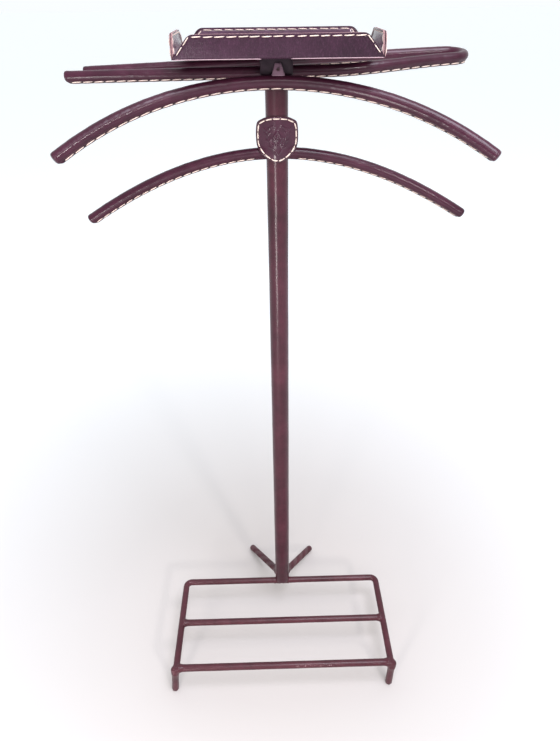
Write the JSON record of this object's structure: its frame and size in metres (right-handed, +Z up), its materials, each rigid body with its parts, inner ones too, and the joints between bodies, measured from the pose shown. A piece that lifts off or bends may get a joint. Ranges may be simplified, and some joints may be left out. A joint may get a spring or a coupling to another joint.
{
  "type": "valet stand",
  "caption": "Free-standing valet stand: leather-covered steel post on a framed base, bowed jacket arm, lower shoulder arm, hairpin trouser bar and a shallow leather tray on top.",
  "frame": {"origin": "on the floor, under the middle of the bounding box; the post stands slightly right of it and behind it", "axes": "+Z up, +X to the right seen from the front, +Y to the back; the badge and the jacket arm face -Y"},
  "size_m": [0.5088, 0.3372, 1.0813],
  "materials": {
    "burgundy_leather": "dark burgundy-aubergine smooth leather, satin, fine grain",
    "base_leather": "same leather pulled tightly round the base rods, slightly redder, scuffed in front",
    "tray_lining_leather": "smooth leather lining, a little glossier and greyer",
    "bare_steel": "bare rod and tube inside the leather",
    "blackened_steel": "black lacquered plate and yoke",
    "waxed_thread": "waxed cream-pink linen thread",
    "rivet_metal": "small dull rivet head"
  },
  "bodies": {
    "root": {"arm_gusset": "burgundy_leather", "badge_back": "burgundy_leather", "badge_front": "burgundy_leather", "badge_thread": "waxed_thread", "base_frame_leather": "base_leather", "base_frame_rod": "bare_steel", "front_bar_leather": "base_leather", "front_bar_rod": "bare_steel", "front_foot_cap_left": "base_leather", "front_foot_cap_right": "base_leather", "front_leg_leather_left": "base_leather", "front_leg_leather_right": "base_leather", "front_leg_rod_left": "bare_steel", "front_leg_rod_right": "bare_steel", "gusset_rivet": "rivet_metal", "jacket_arm_end_left": "burgundy_leather", "jacket_arm_end_right": "burgundy_leather", "jacket_arm_leather": "burgundy_leather", "jacket_arm_rod": "bare_steel", "jacket_arm_thread": "waxed_thread", "jacket_arm_weld_stud": "bare_steel", "lower_arm_end_left": "burgundy_leather", "lower_arm_end_right": "burgundy_leather", "lower_arm_leather_left": "burgundy_leather", "lower_arm_leather_right": "burgundy_leather", "lower_arm_rod_left": "bare_steel", "lower_arm_rod_right": "bare_steel", "lower_arm_thread_left": "waxed_thread", "lower_arm_thread_right": "waxed_thread", "middle_bar_leather": "base_leather", "middle_bar_rod": "bare_steel", "post_foot_plug": "bare_steel", "post_leather": "burgundy_leather", "post_top_plug": "bare_steel", "post_tube": "bare_steel", "post_yoke": "blackened_steel", "post_yoke_cover": "burgundy_leather", "rail_end_cap_left": "base_leather", "rail_end_cap_right": "base_leather", "rear_foot_cap_left": "base_leather", "rear_foot_cap_right": "base_leather", "rear_leg_leather_left": "base_leather", "rear_leg_leather_right": "base_leather", "rear_leg_rod_left": "bare_steel", "rear_leg_rod_right": "bare_steel", "tray_lining_leather": "tray_lining_leather", "tray_plate": "blackened_steel", "tray_screw_left": "bare_steel", "tray_screw_right": "bare_steel", "tray_shell_leather": "burgundy_leather", "tray_thread_back": "waxed_thread", "tray_thread_front": "waxed_thread", "tray_thread_left": "waxed_thread", "tray_thread_right": "waxed_thread", "trouser_bar_end_far": "burgundy_leather", "trouser_bar_end_near": "burgundy_leather", "trouser_bar_leather": "burgundy_leather", "trouser_bar_rod": "bare_steel", "trouser_bar_thread": "waxed_thread"}
  },
  "joints": []
}
